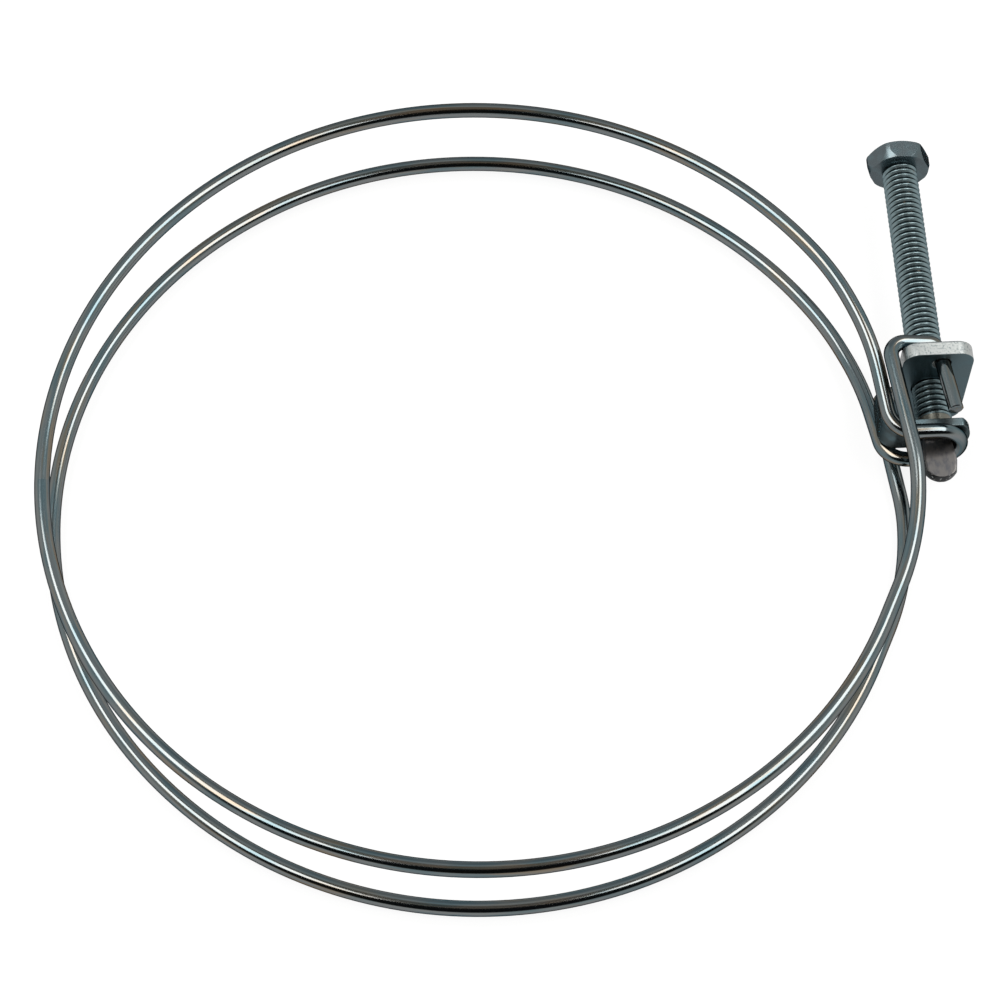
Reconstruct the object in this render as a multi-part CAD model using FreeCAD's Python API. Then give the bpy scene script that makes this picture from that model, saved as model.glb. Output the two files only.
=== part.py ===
"""Double wire hose clamp, lying flat and fully open.

One round wire makes both hoops. Its two free ends hook through a threaded plate, and its
middle is a hairpin that wraps a saddle. A long hex screw runs in the plate, its shoulder pushes
the saddle away from the plate, and that draws the hoops in.

Millimetres. The origin is the hoops' common centre, halfway between them. +Z is the hoops'
axis, and the screw lies along Y at positive X with its head towards +Y.
"""
import FreeCAD, Part
import math
import os

from FreeCAD import Vector

# Wire and hoops
wire_diameter = 2.0
hoop_radius = 55.5          # centre line of the wire
hoop_spacing = 12.7         # between the two hoops' centre lines
wire_seat = 0.05            # gap between the wire and the faces it bears on

# Screw, M5 x 0.8, plain at the thread's crests
thread_diameter = 4.8
screw_length = 48.4         # under the head, tip included
collar_diameter = 4.4       # blank that the thread was rolled on, bare next to the shoulder
collar_length = 1.2
tip_diameter = 3.75
head_across_flats = 7.8     # 8 mm size, at its usual undersize
head_across_corners = 8.66  # the forged corners are not quite filled
head_height = 2.8
head_turn = -4.0            # degrees that the hexagon is turned at rest
head_washer_radius = 4.0    # round bearing face under the head
head_corner_rise = 1.05     # above the bearing face, where the corners reach full size
head_top_radius = 3.5
head_chamfer_angle = 30.0   # degrees, of the cone that cuts the corners at the top
shoulder_chamfer = 0.15
spade_width = 4.7
spade_thickness = 1.5
spade_length = 3.9
spade_end_radius = 2.6      # rounding of the pinched end, seen along the hoops' axis
tip_reach = 0.35            # round tip past the hairpin before it is pinched
screw_offset = 5.05         # screw axis outside the hoops' centre line

# Threaded plate
plate_face_y = 12.5         # the face towards the screw's tip
plate_thickness = 2.1
plate_height = 16.8
plate_inner_reach = 4.3     # from the screw axis towards the hoops
plate_outer_reach = 5.0
plate_corner_radius = 2.2
plate_edge_round = 0.3      # rolled edge that the punch leaves on the head side
thread_clearance = 0.05     # round the screw's crests in the plate
hook_hole_diameter = 2.5
hook_hole_chamfer = 0.35    # on the head side
hook_hole_inset = 2.35      # from the plate's ends to the holes' centres

# Hooked wire ends
hook_offset = 0.55          # corner of the hook outside the screw axis
hook_run_rise = 0.9         # strand above the hook where it turns over the plate
hook_end_rise = 0.4         # free end above the hook
hook_end_lean = 1.2         # how far the free end leans outward from the hook
hook_end_y = 5.3
hook_bend_radius = 1.4
plate_bend_radius = 2.15
plate_strand_inset = 1.0    # strand inside the hoops' centre line at the plate
plate_strand_bow = 0.8      # strand outside the hoops' centre line where it bends in
plate_strand_bow_y = -2.5
hoop_near_angle = 26.0      # degrees below +X where the true circle starts
near_run_share = 0.225      # straight tangent from there to the first gentle bend, of hoop_radius
near_bend_share = 0.72      # of the run between the two gentle bends, taken up by the first
bow_share = 0.26            # and by the second

# Saddle
saddle_face_y = 4.9         # the face that the hairpin bears on
saddle_thickness = 1.2
saddle_end_radius = 4.4     # rounded end, round the screw axis
saddle_leg_width = 6.0
saddle_neck_width = 5.0     # narrow enough to pass between the hairpin's runs
saddle_shoulder_inset = 3.2 # where the neck widens into the leg, inside the screw axis
saddle_tongue_end_y = 11.4
saddle_tongue_inset = 2.3   # inner face of the tongue inside the hoops' centre line
saddle_bend_radius = 1.2    # inside the bend
saddle_tongue_corner = 1.0
tip_clearance = 0.1         # round the tip in the saddle
shoulder_seat = 0.05

# Hairpin
hairpin_radius = 3.65       # centre line of its U-bend, and half the gap between its runs
hairpin_centre_inset = 0.65 # U-bend's centre inside the screw axis
saddle_strand_inset = 1.3   # strand inside the hoops' centre line at the saddle bend
saddle_strand_bend_radius = 3.5
hoop_far_angle = 34.0       # degrees above +X where the true circle ends
far_run_share = 0.09        # straight tangent from there to the first gentle bend, of hoop_radius
far_bend_share = 0.43       # of the run between the two gentle bends, taken up by the first
strand_bend_share = 0.47    # and by the second
strand_bend_inset = 2.9     # second gentle bend inside the hoops' centre line
strand_bend_reach = 0.306   # towards the head, of hoop_radius
strand_bend_height = 5.7

# Worked out from the above
wire_radius = wire_diameter / 2
hoop_height = hoop_spacing / 2
screw_x = hoop_radius + screw_offset
plate_back_y = plate_face_y + plate_thickness
hook_height = plate_height / 2 - hook_hole_inset
run_y = plate_back_y + wire_seat + wire_radius
saddle_back_y = saddle_face_y + saddle_thickness
hairpin_x = screw_x - hairpin_centre_inset
hairpin_y = saddle_face_y - wire_seat - wire_radius
shoulder_y = saddle_back_y + shoulder_seat
spade_start_y = hairpin_y - wire_radius - tip_reach
tip_end_y = spade_start_y - spade_length
head_y = tip_end_y + screw_length


def hoop_point(angle):
    """Point of the upper hoop's centre line at an angle from +X, in degrees."""
    turn = math.radians(angle)
    return Vector(hoop_radius * math.cos(turn), hoop_radius * math.sin(turn), hoop_height)


def hoop_tangent(angle):
    """Unit vector along the hoop at an angle, anticlockwise."""
    turn = math.radians(angle)
    return Vector(-math.sin(turn), math.cos(turn), 0)


def rounded_run(points, bend_runs):
    """Straight runs through points, with a tangent arc at each inner point.

    bend_runs holds the length of run that each arc takes up, one per inner point.
    """
    edges = []
    last = points[0]
    for before, corner, after, run in zip(points, points[1:], points[2:], bend_runs):
        inward = (before - corner).normalize()
        outward = (after - corner).normalize()
        start = corner + inward * run
        end = corner + outward * run
        half_turn = (math.pi - inward.getAngle(outward)) / 2
        radius = run / math.tan(half_turn)
        middle_way = (inward + outward).normalize()
        middle = corner + middle_way * (radius / math.cos(half_turn) - radius)
        if (start - last).dot(inward) > 0:
            raise RuntimeError("two bends of the wire overlap")
        if (start - last).Length > 1e-6:
            edges.append(Part.LineSegment(last, start).toShape())
        edges.append(Part.Arc(start, middle, end).toShape())
        last = end
    if (points[-1] - last).Length > 1e-6:
        edges.append(Part.LineSegment(last, points[-1]).toShape())
    return edges


def bend_run(radius, before, corner, after):
    """Length of run that an arc of a given radius takes up at a corner."""
    turn = math.pi - (before - corner).getAngle(after - corner)
    return radius * math.tan(turn / 2)


def upper_wire_edges():
    """Centre line of the upper half, from the hook to the hairpin."""
    strand_height = hook_height + hook_run_rise
    hook_end = Vector(
        screw_x + hook_offset + hook_end_lean, hook_end_y, hook_height + hook_end_rise
    )
    hook_corner = Vector(screw_x + hook_offset, run_y, hook_height)
    plate_corner = Vector(hoop_radius - plate_strand_inset, run_y, strand_height)
    bow = Vector(hoop_radius + plate_strand_bow, plate_strand_bow_y, strand_height)
    near_start = hoop_point(-hoop_near_angle)
    near_bend = near_start + hoop_tangent(-hoop_near_angle) * hoop_radius * near_run_share
    near_gap = (bow - near_bend).Length
    near = rounded_run(
        [hook_end, hook_corner, plate_corner, bow, near_bend, near_start],
        [
            bend_run(hook_bend_radius, hook_end, hook_corner, plate_corner),
            bend_run(plate_bend_radius, hook_corner, plate_corner, bow),
            near_gap * bow_share,
            near_gap * near_bend_share,
        ],
    )
    far_end = hoop_point(hoop_far_angle)
    hoop = Part.Arc(near_start, hoop_point(180), far_end).toShape()
    far_bend = far_end - hoop_tangent(hoop_far_angle) * hoop_radius * far_run_share
    strand_bend = Vector(
        hoop_radius - strand_bend_inset, hoop_radius * strand_bend_reach, strand_bend_height
    )
    far_gap = (strand_bend - far_bend).Length
    saddle_corner = Vector(hoop_radius - saddle_strand_inset, hairpin_y, hairpin_radius)
    run_end = Vector(hairpin_x, hairpin_y, hairpin_radius)
    far = rounded_run(
        [far_end, far_bend, strand_bend, saddle_corner, run_end],
        [
            far_gap * far_bend_share,
            far_gap * strand_bend_share,
            bend_run(saddle_strand_bend_radius, strand_bend, saddle_corner, run_end),
        ],
    )
    return near + [hoop] + far


def round_segment(section, edge):
    """Wire along one straight or circular edge, and the section at its end."""
    end = edge.valueAt(edge.LastParameter)
    if isinstance(edge.Curve, Part.Line):
        segment = section.extrude(end - edge.valueAt(edge.FirstParameter))
    else:
        turn = math.degrees(edge.LastParameter - edge.FirstParameter)
        segment = section.revolve(edge.Curve.Center, edge.Curve.Axis, turn)
    ends = [f for f in segment.Faces if (f.CenterOfMass - end).Length < 1e-4]
    return segment, ends[0]


def hoop_wire():
    """One wire: two like halves from a hook to the hairpin, and the U-bend between them."""
    edges = upper_wire_edges()
    start = edges[0].valueAt(edges[0].FirstParameter)
    along = edges[0].tangentAt(edges[0].FirstParameter)
    section = Part.Face(Part.Wire(Part.Circle(start, along, wire_radius).toShape()))
    upper = []
    for edge in edges:
        segment, section = round_segment(section, edge)
        upper.append(segment)
    bend = section.revolve(Vector(hairpin_x, hairpin_y, 0), Vector(0, 1, 0), 180)
    lower = [segment.mirror(Vector(0, 0, 0), Vector(0, 0, 1)) for segment in upper]
    return bend.multiFuse(upper + lower)


def cylinder_along_y(radius, start_y, end_y, x=screw_x, z=0.0):
    return Part.makeCylinder(
        radius, end_y - start_y, Vector(x, start_y, z), Vector(0, 1, 0)
    )


def cone_along_y(radius_start, radius_end, start_y, end_y):
    return Part.makeCone(
        radius_start, radius_end, end_y - start_y, Vector(screw_x, start_y, 0), Vector(0, 1, 0)
    )


def hex_head():
    """Forged blank, turned round at both ends, with six flats."""
    corner_radius = head_across_corners / 2
    top_y = head_y + head_height
    slope = math.tan(math.radians(head_chamfer_angle))
    outline = [
        Vector(screw_x, head_y, 0),
        Vector(screw_x + head_washer_radius, head_y, 0),
        Vector(screw_x + corner_radius, head_y + head_corner_rise, 0),
        Vector(screw_x + corner_radius, top_y - (corner_radius - head_top_radius) * slope, 0),
        Vector(screw_x + head_top_radius, top_y, 0),
        Vector(screw_x, top_y, 0),
    ]
    section = Part.Face(Part.makePolygon(outline + [outline[0]]))
    blank = section.revolve(outline[0], Vector(0, 1, 0), 360)
    sharp_radius = head_across_flats / math.sqrt(3)
    corners = []
    for number in range(6):
        turn = math.radians(head_turn + 60 * number)
        corners.append(
            Vector(
                screw_x + sharp_radius * math.cos(turn),
                head_y,
                sharp_radius * math.sin(turn),
            )
        )
    hexagon = Part.Face(Part.makePolygon(corners + [corners[0]]))
    return blank.common(hexagon.extrude(Vector(0, head_height, 0)))


def spade():
    """The tip's pinched end: round where it starts, flat and rounded off where it ends."""
    start = Vector(screw_x, spade_start_y, 0)
    end = Vector(screw_x, tip_end_y, 0)
    round_section = Part.Circle(start, Vector(0, 1, 0), tip_diameter / 2)
    flat_section = Part.Ellipse(
        end + Vector(spade_width / 2, 0, 0), end + Vector(0, 0, spade_thickness / 2), end
    )
    loft = Part.makeLoft(
        [Part.Wire(round_section.toShape()), Part.Wire(flat_section.toShape())], True
    )
    rounding_y = tip_end_y + spade_end_radius
    rounding = Part.makeCylinder(
        spade_end_radius, tip_diameter, Vector(screw_x, rounding_y, -tip_diameter / 2)
    )
    rest = Part.makeBox(
        2 * spade_width,
        spade_start_y - rounding_y,
        tip_diameter,
        Vector(screw_x - spade_width, rounding_y, -tip_diameter / 2),
    )
    return loft.common(rounding.fuse(rest))


def screw():
    """Hex head, threaded shank, bare collar with the shoulder, and plain tip with its spade."""
    shank_radius = thread_diameter / 2
    collar_radius = collar_diameter / 2
    chamfer_y = shoulder_y + shoulder_chamfer
    thread_y = shoulder_y + collar_length
    thread_start_y = thread_y + shank_radius - collar_radius
    tip = cylinder_along_y(tip_diameter / 2, spade_start_y, shoulder_y)
    chamfer = cone_along_y(
        collar_radius - shoulder_chamfer, collar_radius, shoulder_y, chamfer_y
    )
    collar = cylinder_along_y(collar_radius, chamfer_y, thread_y)
    thread_lead = cone_along_y(collar_radius, shank_radius, thread_y, thread_start_y)
    shank = cylinder_along_y(shank_radius, thread_start_y, head_y)
    pieces = [shank, thread_lead, collar, chamfer, tip, spade()]
    return hex_head().multiFuse(pieces).removeSplitter()


def nut_plate():
    """Stamped plate with the threaded hole and the two holes that the wire ends hook through."""
    width = plate_inner_reach + plate_outer_reach
    corner = Vector(screw_x - plate_inner_reach, plate_face_y, -plate_height / 2)
    plate = Part.makeBox(width, plate_thickness, plate_height, corner)
    upright = [e for e in plate.Edges if abs(e.tangentAt(0).y) > 0.99]
    plate = plate.makeFillet(plate_corner_radius, upright)
    back = [e for e in plate.Edges if abs(e.CenterOfMass.y - plate_back_y) < 1e-6]
    plate = plate.makeFillet(plate_edge_round, back)
    screw_hole = cylinder_along_y(
        thread_diameter / 2 + thread_clearance, plate_face_y - 1, plate_back_y + 1
    )
    holes = [screw_hole]
    middle_y = plate_face_y + plate_thickness / 2
    way = (run_y - middle_y) / (run_y - hook_end_y)
    hole_x = screw_x + hook_offset + hook_end_lean * way
    hole_radius = hook_hole_diameter / 2
    for side in (1, -1):
        hole_z = (hook_height + hook_end_rise * way) * side
        holes.append(
            cylinder_along_y(hole_radius, plate_face_y - 1, plate_back_y + 1, hole_x, hole_z)
        )
        holes.append(
            Part.makeCone(
                hole_radius,
                hole_radius + 2 * hook_hole_chamfer,
                2 * hook_hole_chamfer,
                Vector(hole_x, plate_back_y - hook_hole_chamfer, hole_z),
                Vector(0, 1, 0),
            )
        )
    return plate.cut(Part.makeCompound(holes))


def saddle():
    """Strip bent once: a leg with a hole for the tip, and a tongue between the strands."""
    tongue_x = hoop_radius - saddle_tongue_inset
    outer_bend = saddle_bend_radius + saddle_thickness
    half_neck = saddle_neck_width / 2
    neck_end_x = screw_x - saddle_shoulder_inset
    bend_centre = Vector(tongue_x + outer_bend, saddle_face_y + outer_bend, -half_neck)
    diagonal = Vector(-math.sqrt(0.5), -math.sqrt(0.5), 0)
    low = -half_neck
    outer = [
        Vector(tongue_x, saddle_tongue_end_y, low),
        Vector(tongue_x, bend_centre.y, low),
        bend_centre + diagonal * outer_bend,
        Vector(bend_centre.x, saddle_face_y, low),
        Vector(neck_end_x, saddle_face_y, low),
    ]
    inner = [
        Vector(neck_end_x, saddle_back_y, low),
        Vector(bend_centre.x, saddle_back_y, low),
        bend_centre + diagonal * saddle_bend_radius,
        Vector(tongue_x + saddle_thickness, bend_centre.y, low),
        Vector(tongue_x + saddle_thickness, saddle_tongue_end_y, low),
    ]
    profile = Part.Wire(
        [
            Part.LineSegment(outer[0], outer[1]).toShape(),
            Part.Arc(outer[1], outer[2], outer[3]).toShape(),
            Part.LineSegment(outer[3], outer[4]).toShape(),
            Part.LineSegment(outer[4], inner[0]).toShape(),
            Part.LineSegment(inner[0], inner[1]).toShape(),
            Part.Arc(inner[1], inner[2], inner[3]).toShape(),
            Part.LineSegment(inner[3], inner[4]).toShape(),
            Part.LineSegment(inner[4], outer[0]).toShape(),
        ]
    )
    strip = Part.Face(profile).extrude(Vector(0, 0, saddle_neck_width))
    tongue_corners = [
        e
        for e in strip.Edges
        if abs(e.CenterOfMass.y - saddle_tongue_end_y) < 1e-6 and abs(e.tangentAt(0).x) > 0.99
    ]
    strip = strip.makeFillet(saddle_tongue_corner, tongue_corners)
    rounded_end = cylinder_along_y(saddle_end_radius, saddle_face_y, saddle_back_y)
    leg = Part.makeBox(
        saddle_shoulder_inset + saddle_end_radius,
        saddle_thickness,
        saddle_leg_width,
        Vector(neck_end_x, saddle_face_y, -saddle_leg_width / 2),
    )
    leg = leg.common(rounded_end)
    hole = cylinder_along_y(
        tip_diameter / 2 + tip_clearance, saddle_face_y - 1, saddle_back_y + 1
    )
    return strip.fuse(leg).cut(hole).removeSplitter()


parts = {
    "hoop_wire": hoop_wire(),
    "nut_plate": nut_plate(),
    "saddle": saddle(),
    "screw": screw(),
}

os.makedirs("parts", exist_ok=True)
for name, shape in parts.items():
    if len(shape.Solids) != 1 or not shape.isValid():
        raise RuntimeError(name + " is not one valid solid")
    shape.Solids[0].exportStep("parts/" + name + ".step")
    box = shape.BoundBox
    print(
        "%s volume %.1f x %.2f..%.2f y %.2f..%.2f z %.2f..%.2f"
        % (name, shape.Volume, box.XMin, box.XMax, box.YMin, box.YMax, box.ZMin, box.ZMax)
    )
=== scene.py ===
"""Ring clamp of two wire hoops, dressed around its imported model, with floor, lamps and camera."""

import math

import bmesh
import bpy
from bpy.props import FloatProperty, FloatVectorProperty, IntProperty, PointerProperty
from mathutils import Matrix, Vector


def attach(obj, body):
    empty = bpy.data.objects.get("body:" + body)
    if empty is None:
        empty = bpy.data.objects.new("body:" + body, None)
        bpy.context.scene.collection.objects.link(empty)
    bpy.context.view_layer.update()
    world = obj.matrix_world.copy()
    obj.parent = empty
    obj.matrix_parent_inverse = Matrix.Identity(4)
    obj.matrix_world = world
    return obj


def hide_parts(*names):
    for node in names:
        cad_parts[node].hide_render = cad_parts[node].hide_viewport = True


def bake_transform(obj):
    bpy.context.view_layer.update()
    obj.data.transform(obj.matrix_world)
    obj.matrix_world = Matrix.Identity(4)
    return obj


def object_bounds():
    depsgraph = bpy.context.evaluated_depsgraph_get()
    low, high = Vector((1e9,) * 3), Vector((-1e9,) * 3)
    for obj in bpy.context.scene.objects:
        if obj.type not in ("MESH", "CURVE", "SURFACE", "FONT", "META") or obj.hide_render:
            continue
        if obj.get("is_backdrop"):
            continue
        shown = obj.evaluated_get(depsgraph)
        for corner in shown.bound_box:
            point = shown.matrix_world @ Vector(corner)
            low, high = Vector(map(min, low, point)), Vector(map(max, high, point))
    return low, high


bl_info = {
    "name": "Ring clamp",
    "version": (1, 0, 0),
    "blender": (4, 5, 0),
    "location": "View3D > Sidebar > Ring clamp",
    "description": "Builds a double wire ring clamp with its screw, plate and saddle",
    "category": "Object",
}

MM = 0.001
AXIS_Y = Vector((0, 1, 0))
WELD = 1e-6

# Route of the wire: angles on a hoop in degrees, shares of the hoop's radius or of a gap, lengths
NEAR_ANGLE = -26.0
FAR_ANGLE = 34.0
NEAR_RUN = 0.225
FAR_RUN = 0.09
BOW_SHARE = 0.26
NEAR_BEND_SHARE = 0.72
FAR_BEND_SHARE = 0.43
STRAND_BEND_SHARE = 0.47
STRAND_BEND_REACH = 0.306
STRAND_STEP = 2.0 * MM
SCREW_X = 60.55 * MM
HOOK_END = Vector((SCREW_X + 1.75 * MM, 5.3 * MM, 6.45 * MM))
HOOK = Vector((SCREW_X + 0.55 * MM, 15.65 * MM, 6.05 * MM))
HOOK_RADIUS = 1.4 * MM
HOOK_ROUNDING = 0.1 * MM
PLATE_BEND_RADIUS = 2.15 * MM
PLATE_BEND_INSET = 1.0 * MM
PLATE_BEND_Z = 6.95 * MM
BOW_OUTSET = 0.8 * MM
BOW_Y = -2.5 * MM
STRAND_BEND_INSET = 2.9 * MM
STRAND_BEND_Z = 5.7 * MM
CORNER_INSET = 1.3 * MM
CORNER_RADIUS = 3.5 * MM
HAIRPIN_X = SCREW_X - 0.65 * MM
HAIRPIN_Y = 3.85 * MM
HAIRPIN_RADIUS = 3.65 * MM

# Screw
THREAD_START = 7.35 * MM
THREAD_FALL = 0.03 * MM
RUNOUT = 0.6
SHOULDER_Y = 6.15 * MM
SHOULDER_CHAMFER = 0.15 * MM
HEAD_Y = 47.0 * MM
HEAD_HEIGHT = 2.8 * MM
HEAD_WASHER_RADIUS = 4.0 * MM
HEAD_CORNER_RISE = 1.05 * MM
HEAD_TOP_RADIUS = 3.5 * MM
HEAD_CHAMFER = math.radians(30)
COLLAR_LAP = 0.3 * MM
TIP_FILLET = 0.08 * MM
SPADE_START = 5.4 * MM
TIP_END = -1.4 * MM
SPADE_RADIUS = 2.6 * MM
SPADE_HALF_WIDTH = 2.35 * MM
SPADE_HALF_THICKNESS = 0.75 * MM
FLAT_SHARE = 0.2
WIDE_SHARE = 0.75

# Widths of the rounded edges, and angles over which an edge counts as sharp
HEAD_EDGE = 0.1 * MM
TIP_EDGE = 0.06 * MM
PLATE_EDGE = 0.22 * MM
SADDLE_EDGE = 0.12 * MM
HEAD_SHARP = math.radians(18)
PLATE_SHARP = math.radians(25)
TIP_SHARP = math.radians(30)
WIRE_SHARP = math.radians(32)
EDGE_SHARP = math.radians(34)
THREAD_SHARP = math.radians(60)

# Stage
FLOOR_REACH = 3.0
FLOOR_GLOW = 0.86
FLOOR_IN_METAL = 0.5
LAMP_DISTANCE = 1.0
LAMP_TILT = math.radians(26.5)
LAMP_LENGTH = 0.95
LAMP_WIDTH = 0.46
LAMP_RADIANCE = 3.3
LAMP_COLOUR = (1.0, 0.985, 0.955)
SENSOR_WIDTH = 36

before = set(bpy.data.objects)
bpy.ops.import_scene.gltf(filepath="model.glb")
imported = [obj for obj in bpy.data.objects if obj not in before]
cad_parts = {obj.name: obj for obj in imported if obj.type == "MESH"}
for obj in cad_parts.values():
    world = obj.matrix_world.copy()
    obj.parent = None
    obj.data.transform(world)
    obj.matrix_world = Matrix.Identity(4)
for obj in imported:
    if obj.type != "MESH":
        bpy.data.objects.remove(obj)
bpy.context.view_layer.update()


def linear(code):
    """Linear red, green and blue of an sRGB hex colour."""
    values = [int(code[start:start + 2], 16) / 255 for start in (1, 3, 5)]
    return tuple(v / 12.92 if v <= 0.04045 else ((v + 0.055) / 1.055) ** 2.4 for v in values)


def colour_property(name, description, code):
    return FloatVectorProperty(
        name=name, description=description, subtype="COLOR", size=3, min=0, max=1,
        default=linear(code),
    )


def length_property(name, description, millimetres):
    return FloatProperty(
        name=name, description=description, subtype="DISTANCE", unit="LENGTH",
        default=millimetres * MM, precision=5,
    )


class ClampWireSizes(bpy.types.PropertyGroup):
    wire_diameter: length_property("Wire", "Diameter of the drawn wire", 2.0)
    hoop_radius: length_property("Hoop radius", "Centre line of the wire in a hoop", 55.5)
    hoop_spacing: length_property("Hoop spacing", "Between the two hoops", 12.7)
    sides: IntProperty(name="Sides", description="Faces round the wire", default=28, min=8)
    bend_step: FloatProperty(
        name="Bend step", description="Turn of one step of a tight bend", subtype="ANGLE",
        default=math.radians(7.0),
    )
    hoop_step: FloatProperty(
        name="Hoop step", description="Turn of one step of a hoop", subtype="ANGLE",
        default=math.radians(1.5),
    )


class ClampScrewSizes(bpy.types.PropertyGroup):
    pitch: length_property("Pitch", "Pitch of the M5 thread", 0.8)
    crest_diameter: length_property("Crests", "Diameter over the thread's crests", 4.8)
    root_diameter: length_property("Roots", "Diameter at the thread's roots", 4.02)
    collar_diameter: length_property("Collar", "Bare blank next to the shoulder", 4.4)
    tip_diameter: length_property("Tip", "Plain tip in the saddle's hole", 3.75)
    across_flats: length_property("Across flats", "Hexagon of the head", 7.8)
    across_corners: length_property("Across corners", "Forged corners of the head", 8.66)
    head_turn: FloatProperty(
        name="Head turn", description="Turn of the hexagon at rest", subtype="ANGLE",
        default=math.radians(-4.0),
    )
    turn_steps: IntProperty(name="Steps", description="Steps in one turn", default=32, min=12)


class ClampColours(bpy.types.PropertyGroup):
    wire: colour_property("Wire", "Zinc on drawn wire", "#8c9091")
    wire_warm: colour_property("Wire, warm", "Thin places in the zinc's passivation", "#958a7c")
    wire_cool: colour_property("Wire, cool", "Thick places in the passivation", "#74868c")
    screw: colour_property("Screw", "Zinc on the rolled thread", "#99adb2")
    head: colour_property("Head", "Zinc on the forged head", "#727b7f")
    # Painted shade: near black colour that darkens the thread's roots
    painted_root_shade: colour_property("Thread roots", "Dark film left in the roots", "#1d2427")
    tip: colour_property("Tip", "Bare steel of the pinched tip", "#767372")
    tip_dark: colour_property("Tip, dark", "Darker mottling of the tip", "#626266")
    # Lighter and warmer than the tip: partly the collar's bare steel, partly a painted highlight
    collar: colour_property("Collar", "Warm film on the collar over the tip", "#87857c")
    # Painted shade: dark colour of the faces round the tip's pinched end
    scale: colour_property("Scale", "Scale on the tip's end face", "#2b2d2e")
    plate: colour_property("Plate", "Zinc on stamped strip", "#76858a")
    # Torn steel of the stamped edges, and also the colour of the painted glints on the tip's end
    sheared_and_glint: colour_property("Sheared edge", "Torn steel of a stamped edge under zinc", "#d2d4d3")
    saddle: colour_property("Saddle", "Zinc on the bent strip", "#656e70")
    floor: colour_property("Floor", "Plain white floor", "#ffffff")


class ClampView(bpy.types.PropertyGroup):
    azimuth: FloatProperty(
        name="Azimuth", description="Camera's turn about the hoops' axis", subtype="ANGLE",
        default=math.radians(-4.79),
    )
    elevation: FloatProperty(
        name="Elevation", description="Camera's height over the floor", subtype="ANGLE",
        default=math.radians(61.20),
    )
    roll: FloatProperty(
        name="Roll", description="Camera's roll", subtype="ANGLE", default=math.radians(1.87),
    )
    distance: length_property("Distance", "From the camera to the aim", 409.04)
    shift_across: length_property("Across", "Aim left of the hoops' centre", -2.94)
    shift_up: length_property("Up", "Aim below the hoops' centre", 1.44)
    lens: FloatProperty(name="Lens", description="Focal length", default=113.58, min=10)


# Materials


def node(tree, kind, settings=None, **inputs):
    """Adds a shader node, sets its properties, and sets or links its inputs by name or number."""
    made = tree.nodes.new(kind)
    for name, value in (settings or {}).items():
        setattr(made, name, value)
    for name, value in inputs.items():
        key = int(name[1:]) if name[0] == "i" and name[1:].isdigit() else name.replace("_", " ")
        socket = made.inputs[key]
        if isinstance(value, bpy.types.NodeSocket):
            tree.links.new(value, socket)
        elif hasattr(socket.default_value, "__len__") and len(socket.default_value) == 4:
            socket.default_value = tuple(value)[:3] + (1,)
        else:
            socket.default_value = value
    return made


SMOOTH = {"interpolation_type": "SMOOTHSTEP"}
COLOUR_MIX = {"data_type": "RGBA"}
# Zinc reflects less near its outline than a plain metal does
DARK_LIMB = linear("#33393b")


def new_material(name):
    material = bpy.data.materials.new(name)
    material.use_nodes = True
    material.node_tree.nodes.clear()
    return material, material.node_tree


def blobs(x, y, z):
    """Mapping scale that makes noise blobs of these sizes in millimetres."""
    return tuple(1 / (size * MM) for size in (x, y, z))


def drawn_zinc_wire(colours):
    """Zinc on drawn wire.

    It is smooth enough for one crisp line of light, its limbs are dark, the die has left faint
    lines along it, and the passivation drifts between warm and cool.
    """
    material, tree = new_material("drawn_zinc_wire")
    lay = node(tree, "ShaderNodeAttribute", {"attribute_name": "wire_lay"}).outputs["Vector"]
    # The die's lines are finer than the render shows, so they are drawn 0.16 mm wide
    place = node(tree, "ShaderNodeMapping", Vector=lay, Scale=blobs(0.16, 0.16, 14))
    lines = node(tree, "ShaderNodeTexNoise", Vector=place.outputs[0], Scale=1.0, Detail=2.0)
    place = node(tree, "ShaderNodeMapping", Vector=lay, Scale=blobs(0.8, 0.8, 8))
    drift = node(tree, "ShaderNodeTexNoise", Vector=place.outputs[0], Scale=1.0, Detail=2.0)
    place = node(tree, "ShaderNodeMapping", Vector=lay, Scale=blobs(0.6, 0.6, 12))
    spots = node(tree, "ShaderNodeTexNoise", Vector=place.outputs[0], Scale=1.0, Detail=2.0)
    cool = node(
        tree, "ShaderNodeMapRange", SMOOTH, Value=drift.outputs["Fac"], From_Min=0.42, From_Max=0.68
    )
    warm = node(
        tree, "ShaderNodeMapRange", SMOOTH, Value=spots.outputs["Fac"], From_Min=0.5, From_Max=0.72
    )
    cooled = node(
        tree, "ShaderNodeMix", COLOUR_MIX, i0=cool.outputs[0], i6=colours.wire, i7=colours.wire_cool
    )
    tinted = node(
        tree, "ShaderNodeMix", COLOUR_MIX, i0=warm.outputs[0], i6=cooled.outputs[2],
        i7=colours.wire_warm,
    )
    rough = node(tree, "ShaderNodeMapRange", Value=lines.outputs["Fac"], To_Min=0.09, To_Max=0.17)
    raised = node(
        tree, "ShaderNodeBump", Height=lines.outputs["Fac"], Distance=0.002 * MM, Strength=0.35
    )
    shader = node(
        tree, "ShaderNodeBsdfPrincipled", Base_Color=tinted.outputs[2], Metallic=1.0,
        Specular_Tint=DARK_LIMB, Roughness=rough.outputs[0], Normal=raised.outputs[0],
    )
    node(tree, "ShaderNodeOutputMaterial", Surface=shader.outputs[0])
    return material


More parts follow.
